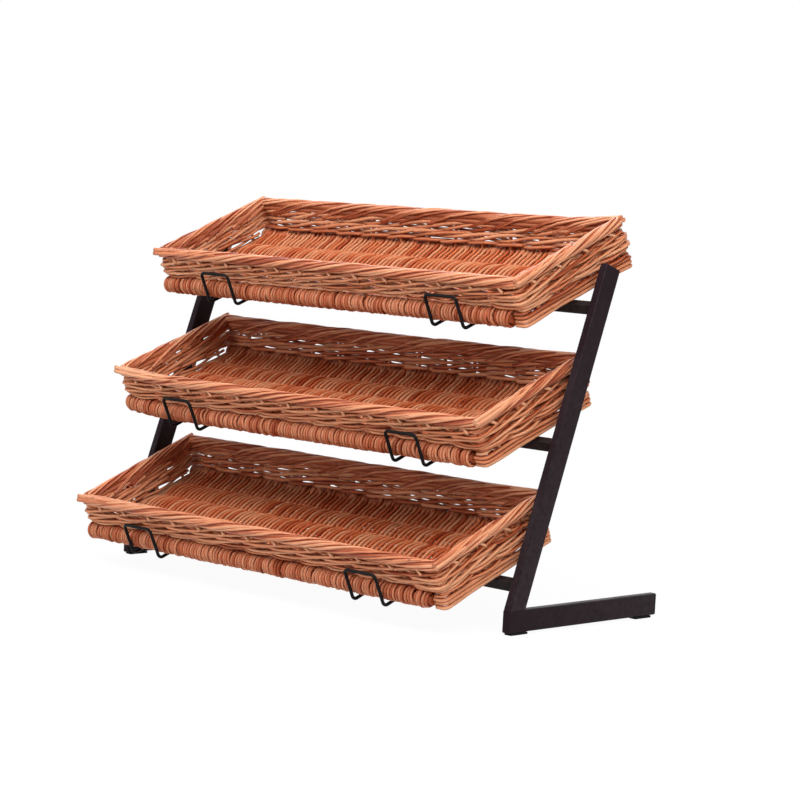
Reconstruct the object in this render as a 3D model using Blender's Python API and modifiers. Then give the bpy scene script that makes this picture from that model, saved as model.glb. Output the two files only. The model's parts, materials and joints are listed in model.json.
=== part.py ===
"""Three-tier counter stand with woven baskets.

Two side frames of flat steel tube, each a foot and a leg that leans back, carry three square rails.
Two wire hooks on each rail hold a rectangular willow basket that is tilted towards the front.

Units are metres. +Z is up, +X is to the right of someone who faces the stand, and -Y is its front.
"""

import math

import bmesh
import bpy
from mathutils import Matrix, Vector

# Side frames
STAND_WIDTH = 0.660
TUBE_DEPTH = 0.025
TUBE_THICKNESS = 0.010
TUBE_WALL = 0.0015
FOOT_LENGTH = 0.257
LEG_LENGTH = 0.405
LEG_ANGLE = math.radians(71.1)

# Closing plates, end caps and floor glides
PLATE_THICKNESS = 0.002
CAP_FLANGE = 0.003
CAP_CHAMFER = 0.0012
CAP_PLUG_LENGTH = 0.012
GLIDE_LENGTH = 0.028
GLIDE_THICKNESS = 0.0025
GLIDE_EDGE = 0.0004
GLIDE_FRONT_SETBACK = 0.0035
GLIDE_REAR_SETBACK = 0.0085
PEG_LENGTH = 0.006
PEG_SIDE_GAP = 0.001

# Tiers: the distances run along the leg's front edge, the setback along the tilted basket
TIERS = ("bottom", "middle", "top")
TIER_TILT = math.radians(21.7)
LOWEST_TIER = 0.0352
TOP_MARGIN = 0.0452
BASKET_SETBACK = 0.002

# Rails and wire hooks: the inset runs from the basket's end to the hook's middle
RAIL_SIZE = 0.012
RAIL_WALL = 0.0012
RAIL_SETBACK = 0.0037
WIRE_DIAMETER = 0.004
WIRE_BEND = 0.006
HOOK_INSET = 0.115
HOOK_WIDTH = 0.048
HOOK_HEIGHT = 0.040
HOOK_LEAN = 0.003
HOOK_GAP = 0.001

# Baskets
BASKET_SIDE_GAP = 0.014
BASKET_FLARE = 0.003
BASKET_DEPTH = 0.197
BASKET_HEIGHT = 0.0625
BAR_DIAMETER = 0.0215
BAR_END_SETBACK = 0.020
STICK_SPACING = 0.035
FLOOR_RIDGE = 0.009
FLOOR_VALLEY = 0.004
END_ROD_WIDTH = 0.009
END_HEIGHT = 0.0148
WALL_THICKNESS = 0.009
WALL_INSET = 0.0055
BORDER_DIAMETER = 0.015
BORDER_CORNER = 0.009
CORNER_RADIUS = 0.006

# Gap between pieces that touch, and how far a cutter runs past what it cuts
CLEARANCE = 0.0003
OVERCUT = 0.002

# Steps along a bend and round a bar
BEND_STEPS = 5
CORNER_STEPS = 5
BAR_SIDES = 20
PEG_SIDES = 16

# Sizes that follow from those above
BORE_WIDTH = TUBE_THICKNESS - 2 * TUBE_WALL
BORE_DEPTH = TUBE_DEPTH - 2 * TUBE_WALL
INNER_WIDTH = STAND_WIDTH - 2 * TUBE_THICKNESS
BASKET_LENGTH = INNER_WIDTH - 2 * BASKET_SIDE_GAP
BASE_LENGTH = BASKET_LENGTH - 2 * BASKET_FLARE
TIER_PITCH = (LEG_LENGTH - TOP_MARGIN - LOWEST_TIER) / (len(TIERS) - 1)
WIRE_RADIUS = WIRE_DIAMETER / 2
PEG_DIAMETER = BORE_WIDTH - 2 * PEG_SIDE_GAP
BAR_RADIUS = BAR_DIAMETER / 2
BORDER_RADIUS = BORDER_DIAMETER / 2
FOOT_BOTTOM = GLIDE_THICKNESS + CLEARANCE
LEG_DIRECTION = Vector((0.0, math.cos(LEG_ANGLE), math.sin(LEG_ANGLE)))
TILT_DIRECTION = Vector((0.0, math.cos(TIER_TILT), math.sin(TIER_TILT)))

# Heights above the basket's base plane
WIRE_LEVEL = -CLEARANCE - WIRE_RADIUS
RAIL_TOP = WIRE_LEVEL - WIRE_RADIUS - CLEARANCE
WALL_BOTTOM = BAR_DIAMETER + CLEARANCE
WALL_TOP = BASKET_HEIGHT - BORDER_DIAMETER - CLEARANCE

# Centre lines of the basket's walls, as half lengths and half depths
BASE_HALF_X = BASE_LENGTH / 2 - END_ROD_WIDTH / 2
BASE_HALF_Y = BASKET_DEPTH / 2 - BAR_RADIUS
BORDER_HALF_X = BASKET_LENGTH / 2 - BORDER_RADIUS
BORDER_HALF_Y = BASKET_DEPTH / 2 - BORDER_RADIUS

# Hook: the plane of its upright wires, behind which the basket's front lies
HOOK_FRONT = -BASKET_DEPTH / 2 - HOOK_GAP - WIRE_RADIUS
HOOK_BACK = RAIL_SETBACK + RAIL_SIZE / 2

SIDES = {"left": -1, "right": 1}


def tier_origin(index):
    """Base centre of a basket, measured from the knee's lower front corner."""
    along = LOWEST_TIER + index * TIER_PITCH
    knee_top = Vector((0.0, 0.0, TUBE_DEPTH))
    return knee_top + LEG_DIRECTION * along + TILT_DIRECTION * BASKET_SETBACK


def front_reach():
    """How far the lowest basket's border or hook stands in front of the knee."""
    origin_y = tier_origin(0).y
    tilt_cos = math.cos(TIER_TILT)
    tilt_sin = math.sin(TIER_TILT)
    border_height = BASKET_HEIGHT - BORDER_RADIUS
    border = origin_y - BORDER_HALF_Y * tilt_cos - border_height * tilt_sin - BORDER_RADIUS
    hook_height = WIRE_LEVEL + HOOK_HEIGHT
    hook = origin_y + (HOOK_FRONT - HOOK_LEAN) * tilt_cos - hook_height * tilt_sin - WIRE_RADIUS
    return min(border, hook)


# Places the middle of the whole stand, front to back, at Y = 0
KNEE_Y = -(FOOT_LENGTH + front_reach()) / 2


def clear_scene():
    """Remove everything from the scene, so that the script can be run again."""
    for obj in list(bpy.data.objects):
        bpy.data.objects.remove(obj, do_unlink=True)
    for collection in list(bpy.data.collections):
        bpy.data.collections.remove(collection)


def new_collection(name):
    """Add a collection to the scene."""
    collection = bpy.data.collections.new(name)
    bpy.context.scene.collection.children.link(collection)
    return collection


def new_material(name, colour, roughness, metallic=0.0):
    """Make a Principled material of one colour."""
    material = bpy.data.materials.new(name)
    material.use_nodes = True
    shader = material.node_tree.nodes["Principled BSDF"]
    shader.inputs["Base Color"].default_value = (*colour, 1.0)
    shader.inputs["Roughness"].default_value = roughness
    shader.inputs["Metallic"].default_value = metallic
    material.diffuse_color = (*colour, 1.0)
    return material


def new_empty(name, collection, location, turn=0.0, parent=None):
    """Add an empty that carries a group of parts, turned about X."""
    empty = bpy.data.objects.new(name, None)
    empty.empty_display_size = TUBE_DEPTH
    empty.location = location
    empty.rotation_euler.x = turn
    empty.parent = parent
    collection.objects.link(empty)
    return empty


def add_part(name, data, material, collection, parent, location=(0.0, 0.0, 0.0)):
    """Add a mesh or curve as a named part below its carrier."""
    obj = bpy.data.objects.new(name, data)
    if material is not None:
        data.materials.append(material)
    obj.parent = parent
    obj.location = location
    collection.objects.link(obj)
    return obj


def add_cutter(name, mesh, collection, parent, location=(0.0, 0.0, 0.0)):
    """Add a mesh that only serves a Boolean modifier."""
    cutter = add_part(name, mesh, None, collection, parent, location)
    cutter.hide_render = True
    cutter.display_type = "WIRE"
    return cutter


def add_boolean(obj, cutter, operation):
    """Cut another object out of a part, or join it to the part."""
    modifier = obj.modifiers.new(cutter.name, "BOOLEAN")
    modifier.operation = operation
    modifier.solver = "EXACT"
    modifier.object = cutter


def add_bevel(obj, width):
    """Chamfer a part's edges."""
    modifier = obj.modifiers.new("edges", "BEVEL")
    modifier.width = width
    modifier.segments = 1
    modifier.limit_method = "ANGLE"


def box_mesh(name, low, high):
    """Make a box between two corners."""
    low = Vector(low)
    high = Vector(high)
    size = high - low
    place = Matrix.Translation((low + high) / 2) @ Matrix.Diagonal((*size, 1.0))
    bm = bmesh.new()
    bmesh.ops.create_cube(bm, size=1.0, matrix=place)
    mesh = bpy.data.meshes.new(name)
    bm.to_mesh(mesh)
    bm.free()
    return mesh


def rod_mesh(name, diameter, length, axis, sides):
    """Make a round rod, centred on its own middle, along X or Z."""
    turn = Matrix.Rotation(math.radians(90.0), 4, "Y") if axis == "X" else Matrix.Identity(4)
    bm = bmesh.new()
    bmesh.ops.create_cone(
        bm,
        cap_ends=True,
        segments=sides,
        radius1=diameter / 2,
        radius2=diameter / 2,
        depth=length,
        matrix=turn,
    )
    mesh = bpy.data.meshes.new(name)
    bm.to_mesh(mesh)
    bm.free()
    mesh.shade_smooth()
    mesh.set_sharp_from_angle(angle=math.radians(50.0))
    return mesh


def round_rectangle(half_x, half_y, radius):
    """List the points of a rectangle with round corners, anticlockwise from the right side."""
    points = []
    for corner, (sign_x, sign_y) in enumerate(((1, 1), (-1, 1), (-1, -1), (1, -1))):
        for step in range(CORNER_STEPS + 1):
            angle = math.radians(90.0) * (corner + step / CORNER_STEPS)
            x = sign_x * (half_x - radius) + radius * math.cos(angle)
            y = sign_y * (half_y - radius) + radius * math.sin(angle)
            points.append((x, y))
    return points


def bent_path(corners, radius):
    """Replace each inner corner of a path by an arc."""
    points = [corners[0]]
    for before, corner, after in zip(corners, corners[1:], corners[2:]):
        way_in = (corner - before).normalized()
        way_out = (after - corner).normalized()
        turn = way_in.angle(way_out)
        axis = way_in.cross(way_out)
        centre = corner + (way_out - way_in).normalized() * radius / math.cos(turn / 2)
        start = corner - way_in * radius * math.tan(turn / 2) - centre
        for step in range(BEND_STEPS + 1):
            points.append(centre + Matrix.Rotation(turn * step / BEND_STEPS, 3, axis) @ start)
    points.append(corners[-1])
    return points


def tube_curve(name, points, diameter, cyclic=False, resolution=2):
    """Make a round wire along a list of points."""
    curve = bpy.data.curves.new(name, "CURVE")
    curve.dimensions = "3D"
    curve.bevel_depth = diameter / 2
    curve.bevel_resolution = resolution
    curve.use_fill_caps = True
    spline = curve.splines.new("POLY")
    spline.points.add(len(points) - 1)
    for spline_point, point in zip(spline.points, points):
        spline_point.co = (*point, 1.0)
    spline.use_cyclic_u = cyclic
    return curve


def flat_outline(name, points, thickness):
    """Make a flat slab of the given outline, centred on its own thickness."""
    curve = bpy.data.curves.new(name, "CURVE")
    curve.dimensions = "2D"
    curve.fill_mode = "BOTH"
    curve.extrude = thickness / 2
    spline = curve.splines.new("POLY")
    spline.points.add(len(points) - 1)
    for spline_point, (x, y) in zip(spline.points, points):
        spline_point.co = (x, y, 0.0, 1.0)
    spline.use_cyclic_u = True
    return curve


def leg_mesh(name):
    """Make the leg's outer shape along its own Z, level with the foot at its lower end."""
    half = TUBE_THICKNESS / 2
    mesh = box_mesh(name, (-half, 0.0, 0.0), (half, TUBE_DEPTH, LEG_LENGTH))
    for vertex in mesh.vertices:
        if vertex.co.z < LEG_LENGTH / 2:
            vertex.co.z = vertex.co.y / math.tan(LEG_ANGLE)
    return mesh


def build_leg(side, parts, cutters, root, material):
    """Build one leaning leg tube and the plate that closes its upper end."""
    x = SIDES[side] * (STAND_WIDTH - TUBE_THICKNESS) / 2
    knee = Vector((x, 0.0, TUBE_DEPTH + CLEARANCE))
    carrier = new_empty(f"leg_frame_{side}", parts, knee, LEG_ANGLE - math.radians(90.0), root)
    leg = add_part(f"leg_{side}", leg_mesh(f"leg_{side}"), material, parts, carrier)
    bore = box_mesh(
        f"leg_bore_{side}",
        (-BORE_WIDTH / 2, TUBE_WALL, -OVERCUT),
        (BORE_WIDTH / 2, TUBE_DEPTH - TUBE_WALL, LEG_LENGTH + OVERCUT),
    )
    add_boolean(leg, add_cutter(bore.name, bore, cutters, carrier), "DIFFERENCE")
    half_x = BORE_WIDTH / 2 - CLEARANCE
    plate = box_mesh(
        f"leg_top_plate_{side}",
        (-half_x, TUBE_WALL + CLEARANCE, LEG_LENGTH - PLATE_THICKNESS),
        (half_x, TUBE_DEPTH - TUBE_WALL - CLEARANCE, LEG_LENGTH),
    )
    add_part(plate.name, plate, material, parts, carrier)


def glide_places():
    """Give each glide's middle along the foot, from the knee's front."""
    front = GLIDE_FRONT_SETBACK + GLIDE_LENGTH / 2
    rear = FOOT_LENGTH - GLIDE_REAR_SETBACK - GLIDE_LENGTH / 2
    return {"front": front, "rear": rear}


def build_foot(side, parts, cutters, root, steel, plastic):
    """Build one foot tube, its front plate, its rear cap and its two glides."""
    x = SIDES[side] * (STAND_WIDTH - TUBE_THICKNESS) / 2
    carrier = new_empty(f"foot_frame_{side}", parts, (x, 0.0, 0.0), 0.0, root)
    half = TUBE_THICKNESS / 2
    tube_end = FOOT_LENGTH - CAP_FLANGE - CLEARANCE
    outer = box_mesh(f"foot_{side}", (-half, 0.0, 0.0), (half, tube_end, TUBE_DEPTH))
    foot = add_part(outer.name, outer, steel, parts, carrier)
    bore = box_mesh(
        f"foot_bore_{side}",
        (-BORE_WIDTH / 2, -OVERCUT, TUBE_WALL),
        (BORE_WIDTH / 2, tube_end + OVERCUT, TUBE_DEPTH - TUBE_WALL),
    )
    add_boolean(foot, add_cutter(bore.name, bore, cutters, carrier), "DIFFERENCE")

    plug_x = BORE_WIDTH / 2 - CLEARANCE
    plug_bottom = TUBE_WALL + CLEARANCE
    plug_top = TUBE_DEPTH - TUBE_WALL - CLEARANCE
    plate = box_mesh(
        f"foot_front_plate_{side}",
        (-plug_x, 0.0, plug_bottom),
        (plug_x, PLATE_THICKNESS, plug_top),
    )
    add_part(plate.name, plate, steel, parts, carrier)

    flange = box_mesh(
        f"foot_rear_cap_{side}",
        (-half, tube_end + CLEARANCE, 0.0),
        (half, FOOT_LENGTH, TUBE_DEPTH),
    )
    cap = add_part(flange.name, flange, plastic, parts, carrier)
    add_bevel(cap, CAP_CHAMFER)
    plug = box_mesh(
        f"foot_rear_plug_{side}",
        (-plug_x, tube_end - CAP_PLUG_LENGTH, plug_bottom),
        (plug_x, FOOT_LENGTH - CAP_FLANGE / 2, plug_top),
    )
    add_boolean(cap, add_cutter(plug.name, plug, cutters, carrier), "UNION")

    for end, place in glide_places().items():
        build_glide(f"glide_{end}_{side}", place, foot, parts, cutters, carrier, plastic)


def build_glide(name, place, foot, parts, cutters, carrier, material):
    """Build a floor pad whose peg is pushed into a hole in the foot's underside."""
    half = TUBE_THICKNESS / 2
    pad = box_mesh(
        name,
        (-half, -GLIDE_LENGTH / 2, -CLEARANCE - GLIDE_THICKNESS),
        (half, GLIDE_LENGTH / 2, -CLEARANCE),
    )
    middle = (0.0, place, 0.0)
    glide = add_part(name, pad, material, parts, carrier, middle)
    add_bevel(glide, GLIDE_EDGE)
    peg = rod_mesh(f"{name}_peg", PEG_DIAMETER, PEG_LENGTH + GLIDE_THICKNESS, "Z", PEG_SIDES)
    peg_middle = (0.0, place, (PEG_LENGTH - GLIDE_THICKNESS) / 2)
    add_boolean(glide, add_cutter(peg.name, peg, cutters, carrier, peg_middle), "UNION")
    hole = rod_mesh(f"{name}_hole", PEG_DIAMETER + 2 * CLEARANCE, 2 * OVERCUT + TUBE_WALL, "Z", PEG_SIDES)
    hole_middle = (0.0, place, TUBE_WALL / 2)
    add_boolean(foot, add_cutter(hole.name, hole, cutters, carrier, hole_middle), "DIFFERENCE")


def build_rail(tier, parts, cutters, carrier, material):
    """Build the square tube that joins the two legs below a basket."""
    half_x = INNER_WIDTH / 2 - CLEARANCE
    front = RAIL_SETBACK - RAIL_SIZE / 2
    back = RAIL_SETBACK + RAIL_SIZE / 2
    bottom = RAIL_TOP - RAIL_SIZE
    outer = box_mesh(f"rail_{tier}", (-half_x, front, bottom), (half_x, back, RAIL_TOP))
    rail = add_part(outer.name, outer, material, parts, carrier)
    bore = box_mesh(
        f"rail_bore_{tier}",
        (-half_x - OVERCUT, front + RAIL_WALL, bottom + RAIL_WALL),
        (half_x + OVERCUT, back - RAIL_WALL, RAIL_TOP - RAIL_WALL),
    )
    add_boolean(rail, add_cutter(bore.name, bore, cutters, carrier), "DIFFERENCE")


def build_hook(tier, side, parts, carrier, material):
    """Bend one wire: forward along the base, up in front of the basket, across and back again."""
    half = HOOK_WIDTH / 2
    top = WIRE_LEVEL + HOOK_HEIGHT
    corners = []
    for x in (-half, half):
        prong = [
            Vector((x, HOOK_BACK, WIRE_LEVEL)),
            Vector((x, HOOK_FRONT, WIRE_LEVEL)),
            Vector((x, HOOK_FRONT - HOOK_LEAN, top)),
        ]
        corners += prong if x < 0 else prong[::-1]
    wire = tube_curve(f"hook_{tier}_{side}", bent_path(corners, WIRE_BEND), WIRE_DIAMETER)
    middle = (SIDES[side] * (BASKET_LENGTH / 2 - HOOK_INSET), 0.0, 0.0)
    add_part(wire.name, wire, material, parts, carrier, middle)


def wall_mesh(name):
    """Make the woven wall, a ring with level edges that flares from the base to the border."""
    half = WALL_THICKNESS / 2
    base = (BASE_HALF_X, BASE_HALF_Y - WALL_INSET, WALL_BOTTOM)
    rim = (BORDER_HALF_X, BORDER_HALF_Y, WALL_TOP)
    bm = bmesh.new()
    rings = []
    for (half_x, half_y, height), offset in ((base, half), (rim, half), (rim, -half), (base, -half)):
        outline = round_rectangle(half_x + offset, half_y + offset, CORNER_RADIUS + offset)
        rings.append([bm.verts.new((x, y, height)) for x, y in outline])
    for ring, next_ring in zip(rings, rings[1:] + rings[:1]):
        for index, vertex in enumerate(ring):
            before = index - 1
            bm.faces.new((ring[before], vertex, next_ring[index], next_ring[before]))
    bmesh.ops.recalc_face_normals(bm, faces=bm.faces)
    mesh = bpy.data.meshes.new(name)
    bm.to_mesh(mesh)
    bm.free()
    mesh.shade_smooth()
    mesh.set_sharp_from_angle(angle=math.radians(50.0))
    return mesh


def floor_profile():
    """List the floor's upper profile from front to back: a ridge over each stick, a valley between sticks."""
    half_y = BASKET_DEPTH / 2 - BAR_DIAMETER - CLEARANCE
    step = STICK_SPACING / 4
    corners = math.floor(half_y / step - 0.5)
    points = [(-half_y, FLOOR_VALLEY / 2)]
    for index in range(-corners - 1, corners + 1):
        over_stick = index % 4 in (0, 3)
        points.append(((index + 0.5) * step, (FLOOR_RIDGE if over_stick else FLOOR_VALLEY) / 2))
    points.append((half_y, FLOOR_VALLEY / 2))
    return points


def floor_mesh(name):
    """Make the woven floor between the bars and the base ends, alike above and below."""
    half_x = BASE_LENGTH / 2 - END_ROD_WIDTH - CLEARANCE
    upper = floor_profile()
    section = upper + [(y, -height) for y, height in reversed(upper)]
    bm = bmesh.new()
    face = bm.faces.new([bm.verts.new((-half_x, y, height)) for y, height in section])
    sweep = bmesh.ops.extrude_face_region(bm, geom=[face])
    moved = [item for item in sweep["geom"] if isinstance(item, bmesh.types.BMVert)]
    bmesh.ops.translate(bm, verts=moved, vec=(2 * half_x, 0.0, 0.0))
    bmesh.ops.recalc_face_normals(bm, faces=bm.faces)
    mesh = bpy.data.meshes.new(name)
    bm.to_mesh(mesh)
    bm.free()
    return mesh


def left_end_outline():
    """List the outline of the left base end: straight rods between the two bars."""
    outer = -BASE_LENGTH / 2
    inner = outer + END_ROD_WIDTH
    half = BASKET_DEPTH / 2 - BAR_DIAMETER - CLEARANCE
    return [(outer, -half), (inner, -half), (inner, half), (outer, half)]


def right_end_outline():
    """List the outline of the right base end: rods that run round both corners to the bars' ends."""
    half = END_ROD_WIDTH / 2
    tip = BASE_LENGTH / 2 - BAR_END_SETBACK + CLEARANCE
    outline = []
    for offset in (half, -half):
        ring = round_rectangle(BASE_HALF_X + offset, BASE_HALF_Y + offset, CORNER_RADIUS + offset)
        bend = ring[-CORNER_STEPS - 1:] + ring[:CORNER_STEPS + 1]
        side = [(tip, bend[0][1]), *bend, (tip, bend[-1][1])]
        outline += side if offset > 0 else side[::-1]
    return outline


def build_basket(tier, parts, carrier, materials):
    """Build a basket: two base bars, the floor, two base ends, the wall and the border."""
    name = f"basket_{tier}"
    bar_length = BASE_LENGTH - BAR_END_SETBACK
    for end, sign in (("front", -1), ("back", 1)):
        bar = rod_mesh(f"{name}_{end}_bar", BAR_DIAMETER, bar_length, "X", BAR_SIDES)
        middle = (-BAR_END_SETBACK / 2, sign * BASE_HALF_Y, BAR_RADIUS)
        add_part(bar.name, bar, materials["bar"], parts, carrier, middle)

    floor = floor_mesh(f"{name}_floor")
    add_part(floor.name, floor, materials["floor"], parts, carrier, (0.0, 0.0, BAR_RADIUS))

    for side, outline in (("left", left_end_outline()), ("right", right_end_outline())):
        rods = flat_outline(f"{name}_end_{side}", outline, END_HEIGHT)
        add_part(rods.name, rods, materials["end"], parts, carrier, (0.0, 0.0, END_HEIGHT / 2))

    add_part(f"{name}_wall", wall_mesh(f"{name}_wall"), materials["wall"], parts, carrier)

    outline = round_rectangle(BORDER_HALF_X, BORDER_HALF_Y, BORDER_CORNER)
    height = BASKET_HEIGHT - BORDER_RADIUS
    points = [(x, y, height) for x, y in outline]
    border = tube_curve(f"{name}_border", points, BORDER_DIAMETER, cyclic=True, resolution=3)
    add_part(border.name, border, materials["border"], parts, carrier)


def main():
    """Build the whole stand."""
    clear_scene()
    parts = new_collection("basket_stand")
    cutters = new_collection("basket_stand_cutters")

    steel = new_material("frame_steel", (0.020, 0.017, 0.016), 0.45)
    rail_steel = new_material("rail_steel", (0.018, 0.016, 0.015), 0.45)
    wire_steel = new_material("hook_wire", (0.014, 0.013, 0.013), 0.40)
    plastic = new_material("cap_plastic", (0.012, 0.012, 0.012), 0.55)
    willow = {
        "bar": new_material("willow_bar", (0.52, 0.27, 0.12), 0.55),
        "floor": new_material("willow_floor", (0.48, 0.24, 0.10), 0.55),
        "end": new_material("willow_end", (0.54, 0.29, 0.13), 0.55),
        "wall": new_material("willow_wall", (0.52, 0.27, 0.12), 0.55),
        "border": new_material("willow_border", (0.58, 0.32, 0.15), 0.50),
    }

    root = new_empty("stand_origin", parts, (0.0, KNEE_Y, FOOT_BOTTOM))
    for side in SIDES:
        build_leg(side, parts, cutters, root, steel)
        build_foot(side, parts, cutters, root, steel, plastic)
    for index, tier in enumerate(TIERS):
        carrier = new_empty(f"tier_{tier}", parts, tier_origin(index), TIER_TILT, root)
        build_rail(tier, parts, cutters, carrier, rail_steel)
        for side in SIDES:
            build_hook(tier, side, parts, carrier, wire_steel)
        build_basket(tier, parts, carrier, willow)


main()
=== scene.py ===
"""Looks of a three-tier counter stand: a powder-coated tube frame, bent wire hooks and woven willow baskets.

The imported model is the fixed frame. Steel pieces are modelled over their solids with rounded edges and weld
beads. Each basket is woven rod by rod: sticks and weavers in its floor, wound base bars, stacked base ends, a
wall of paired rods and four-rod wale on upright stakes, and a rolled border. Units are metres.
"""

import json
import logging
import math
from collections.abc import Callable, Iterator
from contextlib import contextmanager
from dataclasses import dataclass, field
from enum import Enum
from functools import cached_property

import bmesh
import bpy
import numpy as np
from mathutils import Matrix, Vector


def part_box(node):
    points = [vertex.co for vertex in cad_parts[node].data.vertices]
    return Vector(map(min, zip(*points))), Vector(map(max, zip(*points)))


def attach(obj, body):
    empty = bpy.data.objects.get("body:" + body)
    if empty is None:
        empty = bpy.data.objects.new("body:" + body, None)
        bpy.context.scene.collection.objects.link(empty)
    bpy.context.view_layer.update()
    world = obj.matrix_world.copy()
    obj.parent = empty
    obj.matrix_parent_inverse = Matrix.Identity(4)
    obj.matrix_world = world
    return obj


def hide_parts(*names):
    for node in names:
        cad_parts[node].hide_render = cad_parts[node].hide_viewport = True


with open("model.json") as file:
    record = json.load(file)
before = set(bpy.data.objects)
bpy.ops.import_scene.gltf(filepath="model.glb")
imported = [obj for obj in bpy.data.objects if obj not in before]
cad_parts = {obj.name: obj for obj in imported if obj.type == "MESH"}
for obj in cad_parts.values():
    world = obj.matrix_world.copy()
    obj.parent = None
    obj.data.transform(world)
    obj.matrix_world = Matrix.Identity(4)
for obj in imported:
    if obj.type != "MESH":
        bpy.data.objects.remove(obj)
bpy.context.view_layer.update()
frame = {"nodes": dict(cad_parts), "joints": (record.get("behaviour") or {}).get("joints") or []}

log = logging.getLogger("basket_stand")

Colour = tuple[float, float, float]
Line = np.ndarray
Material = bpy.types.Material
Piece = bpy.types.Object
Socket = bpy.types.NodeSocket
X_AXIS = Vector((1.0, 0.0, 0.0))
QUARTER = math.pi / 2
STAND = "stand"


class Tier(Enum):
    """The stand's tiers, by the word that ends their nodes' names."""

    BOTTOM = "bottom"
    MIDDLE = "middle"
    TOP = "top"

    @property
    def basket(self) -> str:
        """Name of the basket's body, which also starts its nodes' names."""
        return f"basket_{self.value}"


class Side(Enum):
    """The stand's two sides."""

    LEFT = "left"
    RIGHT = "right"


class Element(Enum):
    """What an edit-mode selection picks, by the mesh's word for it."""

    VERTEX = "verts"
    EDGE = "edges"
    FACE = "faces"


class Weave(Enum):
    """Ways to weave a round: rods in it, then their rise and their inner side's lift in strand spacings."""

    PAIR = (2, 0.25, 0.25)
    WALE = (4, 0.80, 0.35)


def rows(*parts: float | np.ndarray) -> Line:
    """Put coordinates, each single or one to a point, together into rows of points."""
    return np.stack(np.broadcast_arrays(*parts), -1)


def unit(vectors: Line) -> Line:
    """Make rows of vectors one long."""
    return vectors / np.linalg.norm(vectors, axis=1, keepdims=True)


@dataclass(frozen=True)
class Space:
    """Axes of a tilted sub-assembly: X runs along the stand, Z is its up and Y follows from both."""

    origin: Vector
    up: Vector

    @classmethod
    def of_tier(cls, tier: Tier) -> "Space":
        """Find a tier's axes from its lift joint and its basket's floor.

        Args:
            tier: Which tier.

        Returns:
            Axes at the middle of the basket's base, with Z along the lift.
        """
        joint = next(joint for joint in frame["joints"] if joint["child"] == tier.basket)
        level = cls(Vector(), Vector(joint["axis"]).normalized())
        low, high = level.box(f"{tier.basket}_floor")
        middle = Vector(((low.x + high.x) / 2, (low.y + high.y) / 2, low.z))
        return cls(level.matrix @ middle, level.up)

    @property
    def matrix(self) -> Matrix:
        """Turns points on these axes into points in the frame."""
        axes = Matrix((X_AXIS, self.up.cross(X_AXIS), self.up)).transposed()
        return Matrix.Translation(self.origin) @ axes.to_4x4()

    def box(self, node: str) -> tuple[Vector, Vector]:
        """Measure a node of the frame along these axes.

        Args:
            node: Name of the node.

        Returns:
            Its lowest and highest corner.
        """
        inverse = self.matrix.inverted()
        points = [inverse @ vertex.co for vertex in frame["nodes"][node].data.vertices]
        return Vector(map(min, *points)), Vector(map(max, *points))

    def world(self, points: Line) -> Line:
        """Turn rows of points on these axes into points in the frame."""
        matrix = np.array(self.matrix)
        return points @ matrix[:3, :3].T + matrix[:3, 3]


class Shader:
    """The node graph of a material or of the world."""

    NOISE_SPAN = (0.3, 0.7)

    def __init__(self, owner: Material | bpy.types.World) -> None:
        """Start from the nodes that a material or the world has."""
        owner.use_nodes = True
        self.owner, self.tree = owner, owner.node_tree

    def feed(self, node: bpy.types.Node, inputs: dict) -> None:
        """Give a node's inputs their links or values.

        Args:
            node: The node.
            inputs: Sockets or values by the inputs' names or numbers.
        """
        for name, value in inputs.items():
            if isinstance(value, Socket):
                self.tree.links.new(value, node.inputs[name])
            else:
                node.inputs[name].default_value = value

    def add(self, kind: str, inputs: dict | None = None, out: int | str = 0, **settings: str) -> Socket:
        """Add a node.

        Args:
            kind: The node's type without its ShaderNode prefix.
            inputs: Sockets or values by the inputs' names or numbers.
            out: Name or number of the output that is used.
            **settings: Settings of the node.

        Returns:
            That output.
        """
        node = self.tree.nodes.new(f"ShaderNode{kind}")
        for name, value in settings.items():
            setattr(node, name, value)
        self.feed(node, inputs or {})
        return node.outputs[out]

    def noise(self, place: Socket, scale: float, detail: float, stretch: float = 1.0) -> Socket:
        """Add noise with its repeats in a metre, octaves of detail and scale of the coordinates along Z."""
        mapped = self.add("Mapping", {"Vector": place, "Scale": (1.0, 1.0, stretch)})
        return self.add("TexNoise", {"Vector": mapped, "Scale": scale, "Detail": detail})

    def ramp(self, value: Socket, *stops: tuple[float, Colour]) -> Socket:
        """Add a colour ramp.

        Args:
            value: What drives the ramp.
            *stops: Places from 0 to 1 with their colours.

        Returns:
            The ramp's colour.
        """
        colour = self.add("ValToRGB", {0: value})
        elements = colour.node.color_ramp.elements
        for index, (place, shade) in enumerate(stops):
            element = elements[index] if index < 2 else elements.new(place)
            element.position = place
            element.color = (*shade, 1.0)
        return colour

    def spread(self, value: Socket, span: tuple[float, float], low: float, high: float) -> Socket:
        """Map a span of a value to a range from low to high."""
        inputs = {"From Min": span[0], "From Max": span[1], "To Min": low, "To Max": high}
        return self.add("MapRange", {"Value": value, **inputs})

    def mix(self, share: Socket, first: Socket, second: Colour, blend: str = "MIX") -> Socket:
        """Mix a share of a colour into a pattern's colour, by a blend mode."""
        inputs = {0: share, 6: first, 7: (*second, 1.0)}
        return self.add("Mix", inputs, 2, data_type="RGBA", blend_type=blend)

    def finish(self, shine: float, colour: Socket, roughness: Socket, bump: dict) -> Material:
        """Join the patterns and the inputs of a bump to the material's surface.

        Args:
            shine: Specular level.
            colour: Colour pattern.
            roughness: Roughness pattern.
            bump: Inputs of the bump.

        Returns:
            The finished material.
        """
        inputs = {"Specular IOR Level": shine, "Base Color": colour, "Roughness": roughness}
        self.feed(self.tree.nodes["Principled BSDF"], {**inputs, "Normal": self.add("Bump", bump)})
        return self.owner


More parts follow.
